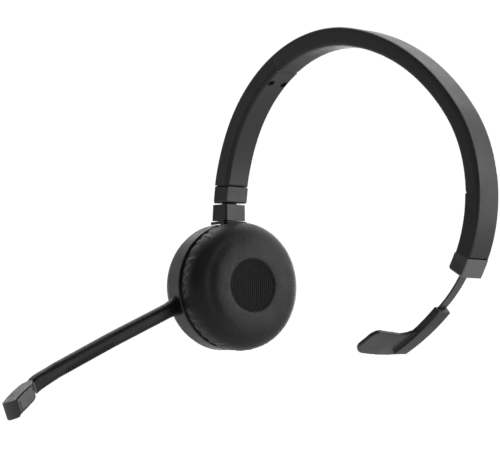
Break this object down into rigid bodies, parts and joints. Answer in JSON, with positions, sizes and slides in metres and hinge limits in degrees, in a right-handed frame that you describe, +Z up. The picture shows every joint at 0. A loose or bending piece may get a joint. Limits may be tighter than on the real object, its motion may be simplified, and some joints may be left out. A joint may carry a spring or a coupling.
{
  "type": "office headset",
  "caption": "Single-ear wireless headset: sprung headband with temple rest, swivelling round ear cup and a turning boom microphone.",
  "frame": {"origin": "point of the crown pad that rests on top of the wearer's head, on the band's middle plane", "axes": "+Z up as worn, +X from the ear cup to the temple pad, -Y the way the wearer faces and the boom points"},
  "size_m": [0.1935, 0.1496, 0.1826],
  "materials": {
    "band_plastic": "satin, fine grain",
    "pad_rubber": "matt",
    "cap_plastic": "semi-gloss",
    "strip_steel": "brushed",
    "spring_steel": "plain",
    "screw_steel": "blackened",
    "temple_rubber": "soft matt",
    "core_plastic": "plain",
    "cup_plastic": "fine grain",
    "ring_plastic": "satin",
    "boom_plastic": "satin",
    "button_plastic": "semi-gloss",
    "leatherette": "soft, fine grain",
    "mesh_cloth": "woven",
    "board_green": "solder resist",
    "chip_black": "plain",
    "port_metal": "nickel",
    "battery_foil": "foil",
    "light_clear": "frosted",
    "magnet_metal": "zinc plated",
    "coil_copper": "enamelled wire",
    "film": "film",
    "sleeve_rubber": "matt",
    "mic_gloss": "gloss",
    "grille_metal": "perforated"
  },
  "bodies": {
    "headband": {"arm_outer_shell": "band_plastic", "arm_inner_cover": "band_plastic", "arm_cover_screws": "screw_steel", "ear_detent_spring": "spring_steel", "spring_band": "spring_steel", "outer_strip": "band_plastic", "crown_pad": "pad_rubber", "temple_guide": "band_plastic", "temple_detent_spring": "spring_steel", "end_cap": "cap_plastic"},
    "temple_arm": {"temple_strip": "strip_steel", "temple_pad_core": "core_plastic", "temple_pad": "temple_rubber"},
    "ear_slider": {"ear_slider_strip": "strip_steel", "upper_hinge_block": "cap_plastic"},
    "yoke": {"swivel_post": "screw_steel", "swivel_clip": "spring_steel", "lower_hinge_block": "cap_plastic", "tilt_pin": "screw_steel"},
    "ear_cup": {"cup_chassis": "cup_plastic", "outer_cover": "cup_plastic", "boss_ring": "core_plastic", "chassis_screws": "screw_steel", "circuit_board": "board_green", "board_components": "chip_black", "button_domes": "spring_steel", "usb_port": "port_metal", "battery": "battery_foil", "light_pipe": "light_clear", "speaker_frame": "core_plastic", "speaker_magnet": "magnet_metal", "voice_coil": "coil_copper", "speaker_diaphragm": "film", "cushion_plate": "core_plastic", "ear_cushion": "leatherette", "cushion_cloth": "mesh_cloth", "boom_friction_washer": "spring_steel"},
    "call_key": {"call_button": "button_plastic"},
    "volume_up_key": {"volume_up_button": "button_plastic"},
    "volume_down_key": {"volume_down_button": "button_plastic"},
    "power_knob": {"power_slider": "button_plastic"},
    "boom": {"boom_ring": "ring_plastic", "boom_arm": "boom_plastic", "boom_wire": "coil_copper"},
    "mute_key": {"mute_button": "button_plastic"},
    "microphone": {"flex_sleeve": "sleeve_rubber", "gooseneck_wire": "spring_steel", "boom_neck": "boom_plastic", "mic_housing": "mic_gloss", "mic_end_cover": "mic_gloss", "mic_grille": "grille_metal", "mic_capsule": "grille_metal", "mic_boot": "sleeve_rubber"}
  },
  "joints": [
    {"name": "ear_side_slide", "type": "hinge", "parent": "headband", "child": "ear_slider", "pos_m": [0.01974, 0, -0.077], "axis": [0, -1, 0], "range_deg": [0, 12]},
    {"name": "temple_side_slide", "type": "hinge", "parent": "headband", "child": "temple_arm", "pos_m": [0.02741, 0, -0.07484], "axis": [0, 1, 0], "range_deg": [-16, 14]},
    {"name": "ear_cup_swivel", "type": "hinge", "parent": "ear_slider", "child": "yoke", "pos_m": [-0.0734, 0, -0.0692], "axis": [0, 0, 1], "range_deg": [-21.5, 38.5]},
    {"name": "ear_cup_tilt", "type": "hinge", "parent": "yoke", "child": "ear_cup", "pos_m": [-0.0734, 0, -0.0747], "axis": [0.1478, 0.989, 0], "range_deg": [-3.5, 3.5]},
    {"name": "boom_turn", "type": "hinge", "parent": "ear_cup", "child": "boom", "pos_m": [-0.07597, 0.00038, -0.1096], "axis": [0.989, -0.1478, 0], "range_deg": [-86, 210]},
    {"name": "boom_flex", "type": "hinge", "parent": "boom", "child": "microphone", "pos_m": [-0.08772, -0.07824, -0.1431], "axis": [-0.0649, -0.4343, 0.8984], "range_deg": [-30, 45], "deforming": ["flex_sleeve", "gooseneck_wire"]},
    {"name": "call_press", "type": "slide", "parent": "ear_cup", "child": "call_key", "axis": [0.989, -0.1478, 0], "range_m": [0, 0.0005], "stiffness_N_per_m": 1200, "springref_m": -0.0003},
    {"name": "volume_up_press", "type": "slide", "parent": "ear_cup", "child": "volume_up_key", "axis": [0.989, -0.1478, 0], "range_m": [0, 0.0005], "stiffness_N_per_m": 1200, "springref_m": -0.0003},
    {"name": "volume_down_press", "type": "slide", "parent": "ear_cup", "child": "volume_down_key", "axis": [0.989, -0.1478, 0], "range_m": [0, 0.0005], "stiffness_N_per_m": 1200, "springref_m": -0.0003},
    {"name": "power_switch", "type": "slide", "parent": "ear_cup", "child": "power_knob", "axis": [0, 0, 1], "range_m": [-0.004, 0]},
    {"name": "mute_press", "type": "slide", "parent": "boom", "child": "mute_key", "axis": [0.989, -0.1478, 0], "range_m": [0, 0.0005], "stiffness_N_per_m": 1200, "springref_m": -0.0003}
  ]
}
